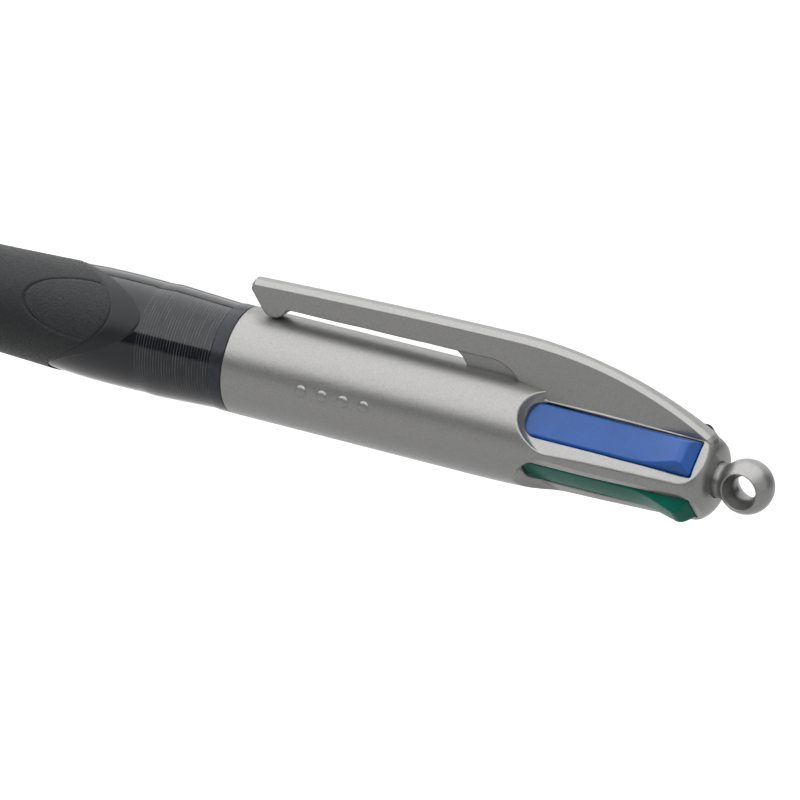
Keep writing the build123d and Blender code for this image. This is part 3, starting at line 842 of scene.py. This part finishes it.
# ---- trim ring and lower barrel ---------------------------------------------------------------
def make_trim():
    """The dark ring between the silver barrel and the smoke one."""
    inner, outer = 5.33, 6.08
    outline = rounded([
        (TRIM_START, inner), (TRIM_START, outer), (TRIM_END, outer), (TRIM_END, inner),
    ], 0.16, 6)
    ring = lathe("trim_ring_gloss", outline, 160, [RING], sharp_deg=60)
    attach(ring, "ring")
    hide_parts("trim_ring")


SLEEVE_CURVE_X = np.array([-63.3, -65.0, -68.0, -72.0, -76.0, -80.0, -85.0, -90.0, -93.0, -100.0,
                           -106.0, -112.0, -120.0, -126.0, -131.0])
SLEEVE_CURVE_R = np.array([6.00, 6.09, 6.24, 6.42, 6.49, 6.45, 6.18, 5.97, 5.86, 5.70,
                           5.62, 5.60, 5.60, 5.56, 5.50])


def smooth_profile(xs, rs, places):
    """Values between the listed ones by a smooth curve through them."""
    xs, rs = np.asarray(xs, float)[::-1], np.asarray(rs, float)[::-1]
    h = np.diff(xs)
    slope = np.diff(rs) / h
    tangent = np.concatenate([[slope[0]], (slope[1:] + slope[:-1]) / 2, [slope[-1]]])
    places = np.asarray(places, float)
    i = np.clip(np.searchsorted(xs, places) - 1, 0, len(h) - 1)
    t = np.clip((places - xs[i]) / h[i], 0, 1)
    return (
        (2 * t ** 3 - 3 * t ** 2 + 1) * rs[i] + (t ** 3 - 2 * t ** 2 + t) * h[i] * tangent[i]
        + (-2 * t ** 3 + 3 * t ** 2) * rs[i + 1] + (t ** 3 - t ** 2) * h[i] * tangent[i + 1]
    )


def sleeve_radius(x):
    return smooth_profile(SLEEVE_CURVE_X, SLEEVE_CURVE_R, x)


THREAD_PITCH, THREAD_DEPTH, THREAD_R = 1.0, 0.27, 5.07
SMOKE_BORE_R, NOSE_BORE_R = 4.45, 4.15


def make_lower_barrel():
    """The smoke shell: smooth outside, threaded inside its mouth, nose at its end."""
    def skin(places, below):
        return [(x, float(sleeve_radius(x)) - below) for x in places]

    under_petals, under_grip = 0.13, 0.62
    outside = skin([SLEEVE_START, *np.arange(-64.0, -72.0, -0.8)], 0.0)
    outside += skin(np.arange(-72.4, -86.5, -0.8), under_petals)
    outside += skin(np.arange(-87.0, -131.0, -2.0), under_grip)
    nose = tangent_arc((GRIP_END - 0.05, 5.0), (NOSE_END + 0.35, 1.9), (-1, 0), 28)
    outside += [(GRIP_END + 0.4, 4.95), *nose]
    outside += [
        (NOSE_END + 0.08, 1.78), (NOSE_END, 1.6), (NOSE_END, 1.42), (NOSE_END + 0.08, 1.33),
    ]
    inside = [
        (NOSE_END + 0.9, 1.3), (-134.0, NOSE_BORE_R), (-126.0, NOSE_BORE_R),
        (-124.5, SMOKE_BORE_R), (-90.0, SMOKE_BORE_R), (-72.7, SMOKE_BORE_R), (-72.6, THREAD_R),
    ]
    thread = [(float(x), THREAD_R) for x in np.arange(-72.4, -64.4, 0.1)]
    mouth = [(-64.35, 5.34), (SLEEVE_START - 0.12, 5.34), (SLEEVE_START, 5.46)]
    outline = outside + inside + thread + mouth
    first_thread = len(outside) + len(inside)
    last_thread = first_thread + len(thread)

    def at(row, turns):
        x, r = outline[row]
        r = r + 0 * turns
        if first_thread <= row < last_thread:
            phase = (x / THREAD_PITCH - turns / math.tau) % 1.0
            # flat crests and roots with sloping flanks between them
            groove = np.clip(1.6 - np.abs(phase - 0.5) * 5.0, 0, 1)
            r = r + THREAD_DEPTH * groove
        return x, r

    barrel = wheel("smoke_barrel", len(outline), 180, at, [SMOKE], closed=True, sharp_deg=50)
    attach(barrel, "lower")
    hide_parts("lower_barrel")


# ---- grip ---------------------------------------------------------------------------------
PETAL_TURN = math.radians(56.0)
PETAL_TIP_X, PETAL_FALL = -72.5, 12.0          # the petals' outer edge: its front, and its depth
BAND_TIP_X, BAND_FALL = -76.35, 8.1            # the border band's inner edge
PANEL_X, PANEL_HALF_LENGTH, PANEL_HALF_ANGLE = -80.0, 7.3, math.radians(31.0)
PANEL_HALF_WIDTH, PANEL_STRETCH, PANEL_INSIDE = 3.35, 2.18, 0.97
FINE_END = -96.0                               # the grip's rows are close together up to here
EDGE_ROUND, EDGE_ROUND_WIDTH = 0.16, 0.08
BAND_LINE, BAND_LINE_PLACE, BAND_LINE_WIDTH = 0.09, 0.1, 0.10
BODY_LIFT, BODY_LIFT_WIDTH = 0.03, 0.3         # the grained body stands this much over the band
GROOVE, GROOVE_WIDTH, GROOVE_FADE = 0.20, 0.15, 0.25
BAND_ROWS = np.array([0.0, 0.004, 0.03, 0.07, 0.12, 0.3, 0.5, 0.7, 0.88, 0.94, 0.98, 1.0])
END_ROWS = ((0.15, 5.49), (0.0, 5.38), (0.05, 5.0))     # past GRIP_END, and radius
PLAIN, BAND, PANEL = 0, 1, 2                            # the grip's material slots


def petal_edges(turns):
    """Where each column's border band starts and ends."""
    s = np.sin(turns - PETAL_TURN) ** 2
    outer = PETAL_TIP_X - PETAL_FALL * s
    return outer, np.minimum(BAND_TIP_X - BAND_FALL * s, outer - 0.05)


def panel_angles(turns):
    """Each column's angle from the middle of the one panel and of the other."""
    return [
        (turns - PETAL_TURN - side + math.pi) % math.tau - math.pi for side in (0.0, math.pi)
    ]


def panel_groove(x, inner, turns):
    """Depth of the fine groove round the oval panels."""
    depth = 0.0 * turns
    for angle in panel_angles(turns):
        across = angle / PANEL_HALF_ANGLE
        along = (x - PANEL_X) / PANEL_HALF_LENGTH
        q = np.sqrt(across ** 2 + along ** 2)
        lengthways = np.clip(along ** 2 / np.maximum(q * q, 0.01), 0, 1)
        distance = (q - 1) * PANEL_HALF_WIDTH * (1 + (PANEL_STRETCH - 1) * lengthways)
        near_band = np.clip((inner - x - GROOVE_FADE) / GROOVE_FADE, 0, 1)
        depth = depth + GROOVE * np.exp(-(distance / GROOVE_WIDTH) ** 2) * near_band
    return depth


def make_grip():
    """The rubber grip: two petals, each with a smooth border band and a grained oval panel."""
    columns = 400
    fine = 190
    coarse = 21
    coarse_rows = 1 + np.arange(1, coarse + 1) ** 1.35 / coarse ** 1.35
    main = np.concatenate([np.linspace(0, 1, fine), coarse_rows])
    band_end = len(BAND_ROWS)
    rows = 1 + band_end + len(main) + len(END_ROWS)

    def at(row, turns):
        outer, inner = petal_edges(turns)
        if row == 0:
            x = outer + 0.02
            return x, sleeve_radius(x) - 0.35
        if row <= band_end:
            t = BAND_ROWS[row - 1]
            x = outer + (inner - outer) * t
            width = outer - inner
            from_outer, from_inner = width * t, width * (1 - t)
            round_off = EDGE_ROUND * np.exp(-(from_outer / EDGE_ROUND_WIDTH) ** 2)
            line = BAND_LINE * np.exp(-((from_inner - BAND_LINE_PLACE) / BAND_LINE_WIDTH) ** 2)
            return x, sleeve_radius(x) - round_off - line
        step = row - band_end - 1
        if step < len(main):
            t = main[step]
            if t <= 1:
                x = inner + (FINE_END - inner) * t
            else:
                x = FINE_END + (GRIP_END + 0.3 - FINE_END) * (t - 1)
            r = sleeve_radius(x) + BODY_LIFT * np.clip((inner - x) / BODY_LIFT_WIDTH, 0, 1)
            return x, r - panel_groove(x, inner, turns)
        past, radius = END_ROWS[step - len(main)]
        return (GRIP_END + past) + 0 * turns, radius + 0 * turns

    def slots(row, turns):
        if row <= band_end - 1:
            return BAND + 0 * turns
        step = row - band_end
        if step >= len(main) or main[step] > 1:
            return PLAIN + 0 * turns
        inner = petal_edges(turns)[1]
        along = (inner + (FINE_END - inner) * main[step] - PANEL_X) / PANEL_HALF_LENGTH
        flag = PLAIN + 0 * turns
        for angle in panel_angles(turns):
            q = (angle / PANEL_HALF_ANGLE) ** 2 + along ** 2
            flag = np.where(q < PANEL_INSIDE, PANEL, flag)
        return flag

    grip = wheel("petal_grip", rows, columns, at, [GRIP, GRIP_BAND, GRIP_PANEL], slots)
    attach(grip, "lower")
    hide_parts("rubber_grip")


# ---- springs ----------------------------------------------------------------------------------
def make_springs():
    """Four coil springs, one on each slide's axis."""
    turns, radius, wire = 9, 1.72, 0.15
    x0, x1 = -53.6, -38.2
    around, per_turn = 10, 24
    along = per_turn * turns
    for colour in COLOURS:
        points, faces = [], []
        for i in range(along + 1):
            t = i / along
            # the first and the last coil sit about 0.1 mm further out, on their seats
            lead = min(t, 1 - t) * along / per_turn
            squeeze = 0.35 if lead < 1 else 1.0
            a = math.tau * turns * t
            x = x0 + (x1 - x0) * (t + 0.02 * (squeeze - 1) * (0.5 - t))
            centre = Vector((x, radius * math.cos(a), radius * math.sin(a)))
            outward = Vector((0, math.cos(a), math.sin(a)))
            forward = Vector((x1 - x0, -radius * math.sin(a) * math.tau * turns,
                              radius * math.cos(a) * math.tau * turns)).normalized()
            side = forward.cross(outward)
            for k in range(around):
                b = math.tau * k / around
                points.append(tuple(centre + (outward * math.cos(b) + side * math.sin(b)) * wire))
        for i in range(along):
            for k in range(around):
                a, b = i * around + k, i * around + (k + 1) % around
                faces.append((a, b, b + around, a + around))
        faces.append(tuple(range(around))[::-1])
        faces.append(tuple(along * around + k for k in range(around)))
        spring = add_mesh(f"coil_spring_{colour}", points, faces, [SPRING_STEEL])
        place_on_slot(spring, colour)
        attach(spring, "upper")
        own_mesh(spring)
        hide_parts(f"return_spring_{colour}")


# ---- inner CAD nodes that keep their shape ------------------------------------------------------
def dress(node, material):
    """A CAD node keeps its shape and gets a finished material."""
    obj = frame["nodes"][node]
    if not obj.material_slots:
        obj.data.materials.append(material)
    for slot in obj.material_slots:
        slot.material = material


def dress_inner_nodes():
    """The hidden mechanism: its CAD shapes with their own materials."""
    dress("guide_core", INNER)
    dress("spring_plate", INNER)
    dress("threaded_spigot", RING)
    for colour in COLOURS:
        dress(f"ink_tube_{colour}", TUBE)
        dress(f"ink_column_{colour}", ink(colour))
        dress(f"point_holder_{colour}", HOLDER_METAL)
        dress(f"writing_ball_{colour}", BALL_METAL)


make_barrel()
make_clip()
make_pips()
make_ball()
make_slides()
make_trim()
make_lower_barrel()
make_grip()
make_springs()
dress_inner_nodes()


# ---- camera, floor and light, in metres ----------------------------------------------------
def camera_axes():
    """Right, up and backward directions of the camera in the pen's frame."""
    lean = math.radians(24.1)      # how far the lanyard end is turned towards the camera
    rise = math.radians(24.1)      # how far the clip side is turned towards the camera
    roll = math.radians(14.22)     # tilt of the pen in the picture
    sin_lean, cos_lean = math.sin(lean), math.cos(lean)
    back = Vector((sin_lean, -cos_lean * math.cos(rise), cos_lean * math.sin(rise)))
    along = Vector((cos_lean, sin_lean * math.cos(rise), -sin_lean * math.sin(rise)))
    above = Vector((0, math.sin(rise), math.cos(rise)))
    right = along * math.cos(roll) + above * math.sin(roll)
    up = above * math.cos(roll) - along * math.sin(roll)
    return right, up, back


def make_camera():
    """A long-lens view of the rear half of the pen, with its writing end out of the frame."""
    right, up, back = camera_axes()
    distance, view_width = 1.0, 0.08644
    aim = right * (-37.5 * MM) + up * (9.36 * MM)
    data = bpy.data.cameras.new("camera")
    data.sensor_width = 36.0
    data.lens = data.sensor_width * distance / view_width
    data.clip_start, data.clip_end = 0.01, 20.0
    camera = bpy.data.objects.new("camera", data)
    turn = Matrix((right, up, back)).transposed().to_4x4()
    camera.matrix_world = Matrix.Translation(aim + back * distance) @ turn
    bpy.context.scene.collection.objects.link(camera)
    bpy.context.scene.camera = camera


def area_light(name, place, aim, width, height, power):
    """A white rectangular softbox at place, pointing at aim."""
    data = bpy.data.lights.new(name, "AREA")
    data.shape = "RECTANGLE"
    data.size, data.size_y = width, height
    data.energy = power
    light = bpy.data.objects.new(name, data)
    light.location = place
    light.rotation_mode = "QUATERNION"
    light.rotation_quaternion = (Vector(aim) - Vector(place)).to_track_quat("-Z", "Y")
    bpy.context.scene.collection.objects.link(light)


def make_stage():
    """A plain pale floor well below the pen, a dim white world and three softboxes."""
    half, level, world_strength = 12.0, -0.09, 0.12
    mesh = bpy.data.meshes.new("floor")
    corners = [(-half, -half), (half, -half), (half, half), (-half, half)]
    mesh.from_pydata([(x, y, level) for x, y in corners], [], [(0, 1, 2, 3)])
    n = Nodes("pale_floor").set(Roughness=0.9, Specular_IOR_Level=0.1)
    n.colour(n.shade(n.noise(0.002, 2), (0.45, 0.45, 0.45), (0.46, 0.46, 0.46)))
    mesh.materials.append(n.material)
    floor = bpy.data.objects.new("floor", mesh)
    bpy.context.scene.collection.objects.link(floor)
    world = bpy.data.worlds.new("studio")
    world.use_nodes = True
    background = world.node_tree.nodes["Background"]
    background.inputs["Color"].default_value = (1.0, 1.0, 1.0, 1.0)
    background.inputs["Strength"].default_value = world_strength
    bpy.context.scene.world = world
    area_light("top_softbox", (-0.9, -0.55, 1.0), (-0.9, -0.55, 0), 3.6, 3.4, 140.0)
    area_light("end_softbox", (1.7, -0.1, 0.75), (0, 0, 0), 2.2, 1.8, 15.0)
    area_light("back_softbox", (-0.8, 2.4, 0.85), (-0.4, 0, 0.2), 3.8, 1.5, 30.0)
    bpy.context.scene.view_settings.view_transform = "Standard"


make_camera()
make_stage()
